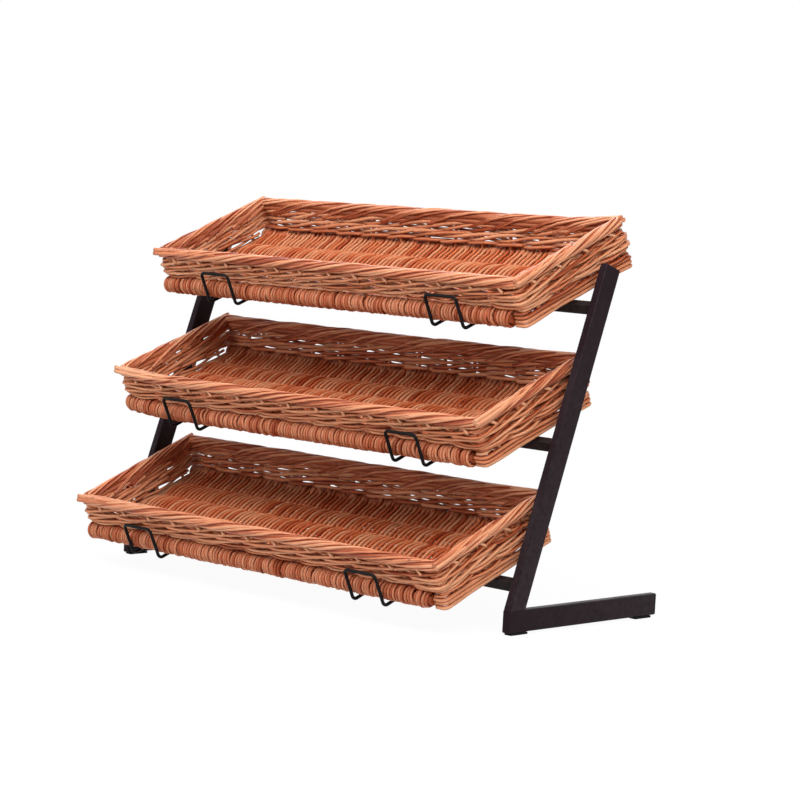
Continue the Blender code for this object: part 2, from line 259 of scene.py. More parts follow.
@dataclass(frozen=True)
class WillowFinish:
    """Buffed willow with its bark stripped: rods that differ in tone, streaked along the grain, with painted
    shade where they lie against each other.
    """

    slot: str
    pale: Colour = (0.69, 0.340, 0.188)
    middle: Colour = (0.62, 0.222, 0.102)
    # darkest rods, and the colour that the painted crevice shade runs to
    deep_and_shade: Colour = (0.27, 0.045, 0.011)
    roughness: float = 0.42
    shine: float = 0.18  # specular level
    streak: Colour = (0.62, 0.47, 0.40)  # what the streaks multiply the colour by
    scar: Colour = (0.16, 0.055, 0.025)
    grain: float = 0.00035  # depth

    @cached_property
    def material(self) -> Material:
        """The material, which reads each rod's tone with its painted crevice shade, and straight-rod
        coordinates.
        """
        shader = Shader(bpy.data.materials.new(self.slot))
        tint = shader.add("Attribute", out="Fac", attribute_name=RodBundle.TINT)
        along = shader.add("Attribute", out="Vector", attribute_name=RodBundle.STRAIGHT)
        blotch = shader.noise(along, 90.0, 3.0, 0.22)
        streak = shader.noise(along, 1500.0, 3.0, 0.035)
        tone = shader.add("Math", {0: blotch, 1: 0.55, 2: tint}, operation="MULTIPLY_ADD")
        colour = shader.ramp(tone, (0.22, self.deep_and_shade), (0.95, self.pale), (0.55, self.middle))
        streaked = shader.spread(streak, Shader.NOISE_SPAN, 0.0, 0.75)
        colour = shader.mix(streaked, colour, self.streak, "MULTIPLY")
        scars = shader.add("TexVoronoi", {"Vector": along, "Scale": 38.0}, "Distance")
        colour = shader.mix(shader.spread(scars, (0.05, 0.11), 0.6, 0.0), colour, self.scar)
        rough = shader.spread(streak, Shader.NOISE_SPAN, self.roughness - 0.08, self.roughness + 0.12)
        bump = {"Height": streak, "Distance": self.grain, "Strength": 0.35}
        return shader.finish(self.shine, colour, rough, bump)


@dataclass(frozen=True)
class CoatFinish:
    """Black coat on steel or black moulded plastic: a fine peel, uneven gloss and lighter rubbed edges, which
    also paint a highlight along them.
    """

    slot: str
    colour: Colour
    # lighter colour of the rubbed edges, partly wear and partly painted highlight
    edge: Colour
    gloss: tuple[float, float] = (0.34, 0.50)  # lowest and highest roughness
    peel: float = 1300.0  # repeats in a metre
    relief: float = 0.00012  # depth of the peel
    shine: float = 0.045  # specular level
    cloud: tuple[float, float] = (0.72, 1.28)  # lowest and highest share of the colour

    @cached_property
    def material(self) -> Material:
        """The material, which reads the piece's rubbed edges and lightens them, partly as wear and partly as
        painted highlight.
        """
        shader = Shader(bpy.data.materials.new(self.slot))
        place = shader.add("TexCoord", out="Object")
        cloud = shader.noise(place, 22.0, 4.0)
        darker, lighter = (tuple(share * part for part in self.colour) for share in self.cloud)
        colour = shader.ramp(cloud, (0.25, darker), (0.75, lighter))
        # Rubbed edges are lightened: partly wear, partly a painted highlight along the rounded edges.
        wear_and_highlight = shader.add("Attribute", out="Fac", attribute_name=Steelwork.EDGE_WEAR)
        rub_and_highlight = shader.add("Math", {0: wear_and_highlight, 1: shader.noise(place, 160.0, 3.0)}, operation="MULTIPLY")
        colour = shader.mix(rub_and_highlight, colour, self.edge)
        rough = shader.spread(cloud, Shader.NOISE_SPAN, *self.gloss)
        bump = {"Height": shader.noise(place, self.peel, 2.0), "Distance": self.relief, "Strength": 0.3}
        return shader.finish(self.shine, colour, rough, bump)


@dataclass
class RodBundle:
    """Rods or wires that are swept along their centre lines into one mesh."""

    TINT = "rod_tone_and_shade"
    STRAIGHT = "rod_straight"
    PATTERN = 40.0  # room in the patterns for the rods' own places
    TONE_SHAPE = 2.4  # how closely tones keep to the middle

    random: np.random.Generator
    sides: int = 8
    beside: Vector = field(default_factory=Vector)  # where rods lie side by side, and so where painted shade falls
    seam: float = 0.50  # painted shade: loss of tone in the crevices between them
    points: list[Line] = field(default_factory=list)
    straights: list[Line] = field(default_factory=list)
    tones_and_shades: list[np.ndarray] = field(default_factory=list)
    faces: list[list[int]] = field(default_factory=list)
    count: int = 0

    def add(
        self,
        line: Line,
        radius: float | np.ndarray,
        closed: bool = False,
        tint: float | None = None,
        core: Line | None = None,
    ) -> None:
        """Sweep one rod.

        Args:
            line: Rows of points along the rod's middle.
            radius: Radius, or a radius at each point.
            closed: Whether the rod's end meets its start.
            tint: Tone from 0, dark, to 1, pale; random where it isn't given.
            core: Points that the rod is wound round, with painted shade in the crevices between its turns.
        """
        steps = len(line)
        radii = np.broadcast_to(np.asarray(radius, float), (steps,))[:, None]
        forward = unit(np.roll(line, -1, 0) - np.roll(line, 1, 0) if closed else np.gradient(line, axis=0))
        across = self.carried(forward)[:, None]
        beyond = np.cross(forward[:, None], across)
        turn = np.arange(self.sides) * (2 * math.pi / self.sides)
        ring = np.cos(turn)[:, None] * across + np.sin(turn)[:, None] * beyond
        self.points.append((line[:, None] + radii[..., None] * ring).reshape(-1, 3))
        way = np.concatenate(([0.0], np.cumsum(np.linalg.norm(np.diff(line, axis=0), axis=1))))
        straight = rows(radii * np.cos(turn), radii * np.sin(turn), way[:, None])
        self.straights.append(straight.reshape(-1, 3) + self.random.uniform(0.0, self.PATTERN, 3))
        tone = self.random.beta(self.TONE_SHAPE, self.TONE_SHAPE) if tint is None else tint
        beside = np.broadcast_to(np.array(self.beside), (steps, 3))
        if core is not None:
            beside = unit(np.cross(forward, line - core))
        # Painted shade: the tone drops on the sides where the rod lies against its neighbours.
        crevice_shade = np.clip(2.5 * np.abs((ring * beside[:, None]).sum(-1)) - 1.5, 0.0, 1.0)
        self.tones_and_shades.append((tone - self.seam * crevice_shade).ravel())
        self.join(steps, closed)

    @staticmethod
    def carried(forward: Line) -> Line:
        """Carry a cross direction along a line without twisting it.

        Args:
            forward: Unit directions along the line.

        Returns:
            Unit directions across the line.
        """
        across = np.empty_like(forward)
        side = np.cross(forward[0], np.eye(3)[np.argmin(np.abs(forward[0]))])
        for index, direction in enumerate(forward):
            side = side - direction * (side @ direction)
            side = side / math.sqrt(side @ side)
            across[index] = side
        return across

    def join(self, steps: int, closed: bool) -> None:
        """Join the last rod's rings by faces, and close its ends.

        Args:
            steps: Number of rings.
            closed: Whether the last ring meets the first.
        """
        rings = self.count + np.arange(steps * self.sides).reshape(steps, self.sides)
        after = np.roll(rings, -1, 0) if closed else rings[1:]
        here = rings if closed else rings[:-1]
        quads = rows(here, np.roll(here, -1, 1), np.roll(after, -1, 1), after).reshape(-1, 4)
        self.faces += quads.tolist()
        if not closed:
            self.faces += [rings[0, ::-1].tolist(), rings[-1].tolist()]
        self.count += steps * self.sides

    def piece(self, name: str) -> Piece:
        """Make the object.

        Args:
            name: Name of the piece.

        Returns:
            The object, at the origin.
        """
        mesh = bpy.data.meshes.new(name)
        mesh.from_pydata(np.concatenate(self.points), [], self.faces)
        mesh.polygons.foreach_set("use_smooth", [len(face) == 4 for face in self.faces])
        tint = mesh.attributes.new(self.TINT, "FLOAT", "POINT")
        tint.data.foreach_set("value", np.concatenate(self.tones_and_shades).astype(np.float32))
        straight = mesh.attributes.new(self.STRAIGHT, "FLOAT_VECTOR", "POINT")
        straight.data.foreach_set("vector", np.concatenate(self.straights).astype(np.float32).ravel())
        mesh.update()
        obj = bpy.data.objects.new(name, mesh)
        bpy.context.scene.collection.objects.link(obj)
        return obj


def settle(obj: Piece, body: str, finish: WillowFinish | CoatFinish, *nodes: str) -> None:
    """Give a shaped piece its finish, its body and the nodes that it stands for.

    Args:
        obj: The piece.
        body: Body that it rides on.
        finish: Its finish, which names the record's material slot.
        *nodes: Nodes that it stands for.
    """
    obj.data.materials.append(finish.material)
    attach(obj, body)
    if nodes:
        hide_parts(*nodes)
    log.info("%s: %d faces, stands for %s", obj.name, len(obj.data.polygons), ", ".join(nodes) or "no node")


@contextmanager
def editing(obj: Piece) -> Iterator[None]:
    """Keep an object in edit mode for the length of a block.

    Args:
        obj: The object, which becomes the active one.
    """
    bpy.context.view_layer.objects.active = obj
    bpy.ops.object.mode_set(mode="EDIT")
    yield
    bpy.ops.object.mode_set(mode="OBJECT")


def pick(obj: Piece, element: Element, chosen: Callable[..., bool]) -> None:
    """Select the elements of the object in edit mode that pass a test.

    Args:
        obj: The object.
        element: What is selected.
        chosen: Test of a vertex, an edge or a face.
    """
    bpy.context.tool_settings.mesh_select_mode = [kind is element for kind in Element]
    bpy.ops.mesh.select_all(action="DESELECT")
    mesh = bmesh.from_edit_mesh(obj.data)
    for item in getattr(mesh, element.value):
        if chosen(item):
            item.select_set(True)
    mesh.select_flush_mode()
    bmesh.update_edit_mesh(obj.data)


@dataclass
class Steelwork:
    """Hand-made steel pieces: blocks with rounded long edges, welded up and coated."""

    EDGE_WEAR = "edge_wear_and_highlight"

    edge_radius: float = 0.0013
    edge_steps: int = 4
    rim: float = 0.0008  # from a tube's outline to its closing plate's ground weld
    seam: float = 0.0002  # half the width of that weld
    bead: float = 0.0011  # radius of a weld bead
    wear_and_highlight: float = 3.4  # growth of an edge's wear and painted highlight with its turn
    smooth_angle: float = 60.0

    def block(self, name: str, low: Vector, high: Vector) -> Piece:
        """Add a cube at its size and place.

        Args:
            name: Name of the piece.
            low: Lowest corner.
            high: Highest corner.

        Returns:
            The object, with its place in its mesh.
        """
        bpy.ops.object.select_all(action="DESELECT")
        bpy.ops.mesh.primitive_cube_add(size=1.0, location=(low + high) / 2)
        obj = bpy.context.object
        obj.name = name
        obj.data.name = name
        obj.scale = high - low
        bpy.ops.object.transform_apply(location=True, rotation=True, scale=True)
        return obj

    def round_long_edges(self, obj: Piece, axis: int) -> None:
        """Round the four edges that run along one axis.

        Args:
            obj: The block, in edit mode.
            axis: Number of the axis.
        """
        pick(
            obj,
            Element.EDGE,
            lambda edge: abs((edge.verts[1].co - edge.verts[0].co).normalized()[axis]) > 0.9,
        )
        bpy.ops.mesh.bevel(offset=self.edge_radius, segments=self.edge_steps, affect="EDGES")

    def close_end(self, obj: Piece, direction: Vector) -> None:
        """Soften the rim of a closed end and press the weld seam of its plate into it.

        Args:
            obj: The block, in edit mode.
            direction: Where the end faces.
        """
        pick(obj, Element.FACE, lambda face: face.normal.dot(direction) > 0.99)
        bpy.ops.mesh.inset(thickness=self.seam, depth=self.seam)
        bpy.ops.mesh.inset(thickness=self.rim - 2 * self.seam, depth=0.0)
        bpy.ops.mesh.inset(thickness=self.seam, depth=-self.seam)
        bpy.ops.mesh.inset(thickness=self.seam, depth=self.seam)

    def dress(self, obj: Piece, place: Matrix) -> None:
        """Mark rubbed edges, which also carry a painted highlight, even out the shading and put the piece in
        its place.

        Args:
            obj: The block, in object mode.
            place: Turns the block's axes into the frame's.
        """
        wear_and_highlight = obj.data.attributes.new(self.EDGE_WEAR, "FLOAT", "POINT")
        for vertex, value in zip(obj.data.vertices, wear_and_highlight.data):
            value.value = min(1.0, self.wear_and_highlight * (1.0 - max(abs(part) for part in vertex.normal)))
        bpy.ops.object.select_all(action="DESELECT")
        obj.select_set(True)
        bpy.context.view_layer.objects.active = obj
        bpy.ops.object.shade_smooth_by_angle(angle=math.radians(self.smooth_angle))
        bpy.ops.object.modifier_add(type="WEIGHTED_NORMAL")
        bpy.ops.object.modifier_apply(modifier=obj.modifiers[-1].name)
        obj.matrix_world = place
        bpy.ops.object.transform_apply(location=True, rotation=True, scale=True)

    def rippled(self, steps: int, depth: float, pace: float) -> np.ndarray:
        """Radii along a weld bead, which swells and narrows."""
        return self.bead * (1.0 + depth * np.sin(np.arange(steps) * pace))


@dataclass(kw_only=True)
class SideFrame(Steelwork):
    """One side of the stand: a foot tube on the counter and the leg tube that leans back from it."""

    side: Side
    bead_steps: int = 14
    coat: CoatFinish = CoatFinish("frame_steel", (0.0118, 0.0050, 0.0082), (0.042, 0.032, 0.034))
    moulding: CoatFinish = CoatFinish(
        "cap_plastic", (0.0100, 0.0090, 0.0092), (0.03, 0.03, 0.03), (0.45, 0.62), 900.0, 0.0002
    )

    def build(self) -> None:
        """Build the foot, the leg and the bead, and dress the cap and glides that stay as they are."""
        self.build_foot()
        self.build_leg()
        for stem in ("foot_rear_cap", "glide_front", "glide_rear"):
            node = frame["nodes"][f"{stem}_{self.side.value}"]
            node.data.materials.clear()
            node.data.materials.append(self.moulding.material)
            log.info("%s: dressed as it is", node.name)

    def build_foot(self) -> None:
        """Model the foot tube with its closed front end."""
        name = f"foot_{self.side.value}"
        foot = self.block(f"{name}_tube", *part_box(name))
        with editing(foot):
            self.round_long_edges(foot, 1)
            self.close_end(foot, Vector((0.0, -1.0, 0.0)))
        self.dress(foot, Matrix.Identity(4))
        settle(foot, STAND, self.coat, name, f"foot_front_plate_{self.side.value}")

    def build_leg(self) -> None:
        """Model the leg tube, cut level where it stands on the foot, and the bead behind it."""
        name = f"leg_{self.side.value}"
        # The leg runs the way in which the rails follow each other.
        lowest = sum(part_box("rail_bottom"), Vector()) / 2
        highest = sum(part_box("rail_top"), Vector()) / 2
        space = Space(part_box(name)[0], (highest - lowest).normalized())
        low, high = space.box(name)
        leg = self.block(f"{name}_tube", low, high)
        slope = space.up.y / space.up.z
        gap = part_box(name)[0].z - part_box(f"foot_{self.side.value}")[1].z
        half = (low + high) / 2
        with editing(leg):
            pick(leg, Element.VERTEX, lambda vertex: vertex.co.z < half.z and vertex.co.y > half.y)
            bpy.ops.transform.translate(value=(0.0, 0.0, (high.y - low.y) * slope))
            pick(leg, Element.VERTEX, lambda vertex: vertex.co.z < half.z)
            bpy.ops.transform.translate(value=(0.0, 0.0, -gap / space.up.z))
            self.round_long_edges(leg, 2)
            self.close_end(leg, Vector((0.0, 0.0, 1.0)))
        self.dress(leg, space.matrix)
        settle(leg, STAND, self.coat, name, f"leg_top_plate_{self.side.value}")
        self.build_bead(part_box(name)[0].y + (high.y - low.y) / space.up.z)

    def build_bead(self, back: float) -> None:
        """Lay the weld bead in the corner behind the leg.

        Args:
            back: Where the leg's rear face meets the foot.
        """
        low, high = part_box(f"foot_{self.side.value}")
        steps = np.linspace(low.x + self.edge_radius, high.x - self.edge_radius, self.bead_steps)
        bead = RodBundle(np.random.default_rng(5), 10)
        bead.add(rows(steps, back, high.z), self.rippled(self.bead_steps, 0.12, 2.1))
        settle(bead.piece(f"knee_bead_{self.side.value}"), STAND, self.coat)


@dataclass(kw_only=True)
class TierCarrier(Steelwork):
    """One tier's square rail with its two wire hooks."""

    tier: Tier
    edge_radius: float = 0.0010
    wire: float = 0.004  # diameter
    bend: float = 0.006  # radius of the wire's line in its bends
    lean: float = 0.003  # how far a hook leans forward at its top
    bend_steps: int = 9
    bead: float = 0.0009
    bead_length: float = 0.009  # beside a wire
    bead_steps: int = 9
    ring_steps: int = 48  # round the rail's end
    rail_coat: CoatFinish = CoatFinish("rail_steel", (0.0110, 0.0072, 0.0084), (0.036, 0.029, 0.029))
    wire_coat: CoatFinish = CoatFinish(
        "hook_wire", (0.0085, 0.0075, 0.0078), (0.03, 0.03, 0.03), (0.28, 0.42)
    )

    def build(self) -> None:
        """Build the rail, its weld beads and the hooks."""
        self.space = Space.of_tier(self.tier)
        self.random = np.random.default_rng(11)
        self.build_rail()
        self.beads = RodBundle(self.random, 8)
        self.lay_rail_beads()
        for side in Side:
            self.build_hook(side)
        settle(self.beads.piece(f"weld_beads_{self.tier.value}"), STAND, self.rail_coat)

    def build_rail(self) -> None:
        """Model the rail up to the legs' inner faces."""
        name = f"rail_{self.tier.value}"
        low, high = self.space.box(name)
        low.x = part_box("leg_left")[1].x
        high.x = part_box("leg_right")[0].x
        rail = self.block(f"{name}_tube", low, high)
        with editing(rail):
            self.round_long_edges(rail, 0)
        self.dress(rail, self.space.matrix)
        settle(rail, STAND, self.rail_coat, name)

    def lay_rail_beads(self) -> None:
        """Lay a weld bead round each end of the rail."""
        low, high = self.space.box(f"rail_{self.tier.value}")
        middle = (low + high) / 2
        loop = Loop((high.y - low.y) / 2, (high.z - low.z) / 2, self.edge_radius)
        across, _ = loop.at(np.linspace(0.0, loop.length, self.ring_steps, endpoint=False))
        for x in (low.x, high.x):
            line = rows(x, across[:, 0] + middle.y, across[:, 1] + middle.z)
            self.beads.add(self.space.world(line), self.rippled(self.ring_steps, 0.15, 1.9), closed=True)

    def build_hook(self, side: Side) -> None:
        """Bend one hook, and weld its two ends to the rail.

        Args:
            side: Which of the tier's hooks.
        """
        name = f"hook_{self.tier.value}_{side.value}"
        low, high = self.space.box(name)
        radius = self.wire / 2
        level = low.z + radius
        front = low.y + radius
        steps = np.linspace(high.y - self.bead_length, high.y - self.bead, self.bead_steps)
        swell = self.bead * (0.8 + 0.35 * np.sin(np.linspace(0.2, 2.9, self.bead_steps)))
        corners = []
        for x in (low.x + radius, high.x - radius):
            prong = [(x, high.y, level), (x, front + self.lean, level), (x, front, high.z - radius)]
            corners += prong if not corners else prong[::-1]
            for beside in (-radius, radius):
                self.beads.add(self.space.world(rows(x + beside, steps, level - radius)), swell)
        wire = RodBundle(self.random, 14)
        wire.add(self.space.world(self.bent(np.array(corners))), radius)
        settle(wire.piece(f"{name}_wire"), STAND, self.wire_coat, name)

    def bent(self, corners: Line) -> Line:
        """Replace each inner corner of a path by an arc.

        Args:
            corners: Rows of corner points.

        Returns:
            Rows of points along the bent path.
        """
        line = [corners[0]]
        for before, corner, after in zip(corners, corners[1:], corners[2:]):
            way_in = Vector(corner - before).normalized()
            way_out = Vector(after - corner).normalized()
            turn = way_in.angle(way_out)
            centre = Vector(corner) + (way_out - way_in).normalized() * self.bend / math.cos(turn / 2)
            start = Vector(corner) - way_in * self.bend * math.tan(turn / 2) - centre
            for step in range(self.bend_steps + 1):
                angle = turn * step / self.bend_steps
                line.append(np.array(centre + Matrix.Rotation(angle, 3, way_in.cross(way_out)) @ start))
        line.append(corners[-1])
        return np.array(line)


@dataclass(frozen=True)
class Loop:
    """Rounded rectangle, walked anticlockwise seen from above from the left end of its front."""

    half_x: float
    half_y: float
    corner: float  # radius

    @property
    def sides(self) -> np.ndarray:
        """Lengths of the four straight sides."""
        return 2 * np.array((self.half_x, self.half_y) * 2) - 2 * self.corner

    @property
    def bend(self) -> float:
        """Length of a corner's arc."""
        return self.corner * QUARTER

    @property
    def length(self) -> float:
        """Length of the whole loop."""
        return float(self.sides.sum()) + 4 * self.bend

    def at(self, way: np.ndarray) -> tuple[Line, Line]:
        """Find places on the loop.

        Args:
            way: Distances along the loop.

        Returns:
            Points on the loop, and the outward direction at each.
        """
        ends = np.cumsum(self.sides + self.bend)
        way = np.mod(way, ends[-1])
        side = np.minimum(np.searchsorted(ends, way, side="right"), 3)
        past = way - (ends - self.sides - self.bend)[side]
        straight = self.sides[side]
        heading = side * QUARTER
        outward = heading - QUARTER + np.maximum(past - straight, 0.0) / self.corner
        inner = np.array((self.half_x - self.corner, self.half_y - self.corner))
        start = inner * np.array(((-1, -1), (1, -1), (1, 1), (-1, 1)))[side]
        run = np.minimum(past, straight)[:, None] * rows(np.cos(heading), np.sin(heading))
        out = rows(np.cos(outward), np.sin(outward))
        return start + run + self.corner * out, out


@dataclass
class Basket:
    """A shallow willow basket, woven rod by rod in the space that its solids hold."""

    tier: Tier
    seed: int
    corner_lift: tuple[float, ...] = (0.0, 0.0, 0.0, 0.0)  # anticlockwise from the front left
    corner_spread: float = 0.003  # how far the foot of the back right corner stands out
    corner: float = 0.005  # radius of the wall's middle line
    stakes: int = 34
    stake_radius: float = 0.0022
    strand_radius: float = 0.00213  # rods in the wall
    inner_stout: float = 0.13  # share by which these are stouter inside the stakes
    stake_foot: float = 0.007  # how far a stake runs down below the wall
    corner_slack: float = 0.40  # share of a weaver's swing that is left at a corner
    slack_run: float = 0.045  # distance over which the whole swing is gained
    rounds: tuple[Weave, ...] = (Weave.PAIR, Weave.WALE, Weave.WALE)  # from the foot
    foot_gap: float = 0.0005  # below the lowest round
    border_gap: float = 0.0014  # above the top round
    wall_inset: float = 0.0055  # from the bars' middle lines to the wall's foot
    inset_run: float = 0.060  # distance from a corner over which the inset grows
    corner_bulge: float = 0.0045
    bulge_run: float = 0.030  # distance from a corner over which the bulge fades
    border_radius: float = 0.0021  # rods in the border
    border_turn: float = 85.0  # degrees round the border in one stake space
    border_wrap: float = 330.0  # degrees in all
    border_tail: float = 0.0115  # how far a border rod runs down inside
    border_crevice_shade: float = 0.8  # painted shade in the crevices between border rods
    stub_slant: float = 0.10  # half a cut end's length, in stake spaces
    butt_length: float = 0.0006  # how far a side's first rods stand out past its corner
    butt_run: float = 0.105  # their length along the side
    weaver_radius: float = 0.00182  # rods of the floor and the bars
    weaver_crevice_shade: float = 0.2  # painted shade in the crevices between floor and bar rods
    swing: float = 0.0038  # rise of a weaver over a stick
    stick_radius: float = 0.0029
    floor_sticks: int = 5
    stick_gap: float = 0.035
    weaver_end: float = 0.0025  # from a weaver's end to a bar's middle line
    end_rods: int = 3
    end_tuck: float = 0.004  # how far the left end's rods run into the bars
    end_trim: float = 0.0012  # how much shorter a rod of the right end may be
    packing_rods: int = 2  # between each base end and the lowest round
    bar_finish: WillowFinish = WillowFinish("willow_bar", (0.60, 0.248, 0.132), (0.48, 0.134, 0.058))
    # Painted shade: the floor's willow is deeper and redder than the wall's, for the shade that lies in the
    # floors' weave.
    shaded_floor_finish: WillowFinish = WillowFinish(
        "willow_floor", (0.60, 0.255, 0.128), (0.52, 0.130, 0.046), (0.29, 0.038, 0.008), 0.46, 0.15
    )
    end_finish: WillowFinish = WillowFinish("willow_end")
    wall_finish: WillowFinish = WillowFinish("willow_wall")
    border_finish: WillowFinish = WillowFinish("willow_border", shine=0.35)

    def build(self) -> None:
        """Measure the basket's solids and weave its pieces."""
        self.space = Space.of_tier(self.tier)
        self.random = np.random.default_rng(self.seed)
        low, high = self.box("border")
        self.rope = (high.z - low.z) / 2
        self.rim_height = high.z
        self.rim = Loop(high.x - self.rope, high.y - self.rope, self.corner)
        self.spacing = self.rim.length / self.stakes
        self.wall_foot, self.wall_top = (corner.z for corner in self.box("wall"))
        self.overhang = self.space.box(f"hook_{self.tier.value}_right")[1].x
        low, high = self.box("back_bar")
        self.bar_middle = (low + high) / 2
        self.bar_radius = (high.z - low.z) / 2
        low, high = self.box("end_left")
        self.base = Loop(-(low.x + high.x) / 2, self.bar_middle.y, self.corner)
        self.build_bar("front", -1)
        self.build_bar("back", 1)
        self.build_floor()
        self.build_end(Side.LEFT)
        self.build_end(Side.RIGHT)
        self.build_wall()
        self.build_border()

    def box(self, node: str) -> tuple[Vector, Vector]:
        """Measure one of the basket's nodes along the basket's axes."""
        return self.space.box(f"{self.tier.basket}_{node}")

    def lay(self, line: Line, radius: float | np.ndarray, **look: bool | float | Line) -> None:
        """Lay a rod on the basket's axes, with the bundle's other choices."""
        self.rods.add(self.placed(line), radius, **look)

    def finish(self, node: str, finish: WillowFinish) -> None:
        """Make the rods that were laid a piece that stands for the node of its name."""
        name = f"{self.tier.basket}_{node}"
        settle(self.rods.piece(f"{name}_woven"), self.tier.basket, finish, name)

    def placed(self, points: Line) -> Line:
        """Bend the overhanging corners up as the basket is out of true, and put points in the frame.

        Args:
            points: Rows of points on the basket's axes.

        Returns:
            Rows of points in the frame.
        """
        free = np.clip((np.abs(points[:, 0]) - self.overhang) / (self.rim.half_x - self.overhang), 0.0, 1.2)
        back = 0.5 + 0.5 * np.clip(points[:, 1] / self.rim.half_y, -1.0, 1.0)
        front_left, front_right, back_right, back_left = self.corner_lift
        left = front_left * (1 - back) + back_left * back
        right = front_right * (1 - back) + back_right * back
        moved = points.copy()
        moved[:, 2] += free**2 * np.where(points[:, 0] < 0.0, left, right)
        low = np.clip(1.0 - points[:, 2] / self.rim_height, 0.0, 1.0)
        moved[:, :2] += (self.corner_spread * free**2 * back**3 * low * (points[:, 0] > 0.0))[:, None]
        return self.space.world(moved)

    def drift(self, way: np.ndarray, amount: float, length: float) -> np.ndarray:
        """Give a slow random wander.

        Args:
            way: Distances along a rod.
            amount: Size of the wander.
            length: Distance of one swing.

        Returns:
            The wander at each distance.
        """
        total = np.zeros_like(way)
        for share in (1.0, 0.6, 0.35):
            pace = 2 * math.pi * share**-0.8 / length * self.random.uniform(0.8, 1.25)
            total += share * np.sin(way * pace + self.random.uniform(0.0, 2 * math.pi))
        return amount * total / 1.2

    def around(self, way: np.ndarray, outset: float | np.ndarray, height: float | np.ndarray) -> Line:
        """Find points round the wall, which leans out from the base to the rim.

        Args:
            way: Distances along the rim's loop.
            outset: Distances outwards from the wall's middle line.
            height: Heights above the base.

        Returns:
            Rows of points on the basket's axes.
        """
        place, out = self.rim.at(way)
        height = np.broadcast_to(height, way.shape)
        rise = np.clip((height - self.wall_foot) / (self.wall_top - self.wall_foot), 0.0, 1.0)
        inset = self.wall_inset * np.clip((self.rim.half_x - np.abs(place[:, 0])) / self.inset_run, 0.0, 1.0)
        rim = np.array((self.rim.half_x, self.rim.half_y))
        foot = rows(self.base.half_x, self.base.half_y - inset)
        bulge = self.corner_bulge * np.clip(1.0 - self.to_corner(place) / self.bulge_run, 0.0, 1.0)
        outset = outset + bulge * np.clip(4.0 * np.minimum(rise, 1.0 - rise), 0.0, 1.0)
        plan = (place + outset[:, None] * out) * (foot + (rim - foot) * rise[:, None]) / rim
        return np.column_stack((plan, height))

    def to_corner(self, place: Line) -> np.ndarray:
        """Measure how far points on the rim's loop are from its nearest corner."""
        return np.hypot(self.rim.half_x - np.abs(place[:, 0]), self.rim.half_y - np.abs(place[:, 1]))

    def slack(self, way: np.ndarray) -> np.ndarray:
        """Share of a weaver's swing that is left where it is pulled tight round the corners."""
        return np.clip(self.corner_slack + self.to_corner(self.rim.at(way)[0]) / self.slack_run, 0.0, 1.0)

    def build_bar(self, end: str, sign: int) -> None:
        """Wind weavers round a stick in close groups.

        Args:
            end: Front or back.
            sign: Which way that lies from the basket's middle.
        """
        low, high = self.box(f"{end}_bar")
        y = sign * self.bar_middle.y
        height = self.bar_middle.z
        reach = self.bar_radius - self.weaver_radius
        self.rods = RodBundle(self.random, 6, X_AXIS, self.weaver_crevice_shade)
        turn = np.linspace(0.0, 2 * math.pi, 16, endpoint=False)
        x = low.x + 1.2 * self.weaver_radius
        left_in_group = 4
        tilt = 0.0
        while x < high.x - self.weaver_radius:
            radius = self.weaver_radius * self.random.uniform(0.85, 1.10)
            around = reach + self.random.normal(0.0, 0.00045)
            lean = (tilt + self.random.normal(0.0, 0.0003)) * np.sin(turn)
            ring = rows(x + lean, y + around * np.cos(turn), height + around * np.sin(turn))
            self.lay(ring, radius, closed=True)
            x += 2.16 * radius
            left_in_group -= 1
            if left_in_group == 0:
                left_in_group = int(self.random.integers(1, 4))
                tilt = self.random.normal(0.0, 0.0010)
                x += self.random.uniform(0.0005, 0.0017)
        # Painted shade: the core gets the darkest tone, so the gaps between the rings look dark.
        core = rows(np.linspace(low.x, high.x, 40), y, height)
        self.lay(core, reach - 1.3 * self.weaver_radius, tint=0.0)
        self.finish(f"{end}_bar", self.bar_finish)

    def build_floor(self) -> None:
        """Weave the floor: sticks along the basket, and weavers over and under them from bar to bar."""
        low, high = self.box("floor")
        middle = (low.z + high.z) / 2
        last = (self.floor_sticks - 1) / 2 * self.stick_gap
        reach = self.bar_middle.y - self.weaver_end
        self.rods = RodBundle(self.random, 6, X_AXIS, self.weaver_crevice_shade)
        x = np.linspace(low.x + 0.001, high.x - 0.001, 60)
        for index in range(self.floor_sticks):
            y = index * self.stick_gap - last + self.drift(x, 0.0006, 0.15)
            # Painted shade: the sticks get a dark tone, so the gaps between the weavers look deep.
            self.lay(rows(x, y, middle), self.stick_radius, tint=0.1)
        y = np.linspace(-reach, reach, 49)
        beyond = np.clip((np.abs(y) - last) / (reach - last), 0.0, 1.0)
        weavers = int((high.x - low.x) / (2 * self.weaver_radius))
        pitch = (high.x - low.x) / weavers
        for index in range(weavers):
            x = low.x + (index + 0.5) * pitch + self.random.normal(0.0, 0.00018)
            over = 1.0 - 2.0 * (index % 2)
            phase = math.pi * (y + self.random.normal(0.0, 0.0007)) / self.stick_gap
            wave = over * self.swing * np.cos(phase) * self.random.uniform(0.94, 1.0)
            at_bar = self.bar_middle.z + over * (self.bar_radius - 1.1 * self.weaver_radius)
            height = (middle + wave) * (1 - beyond) + at_bar * beyond
            line = rows(x + self.drift(y, 0.00025, 0.10), y, height)
            self.lay(line, pitch / 2 * self.random.uniform(1.00, 1.12))
        self.finish("floor", self.shaded_floor_finish)

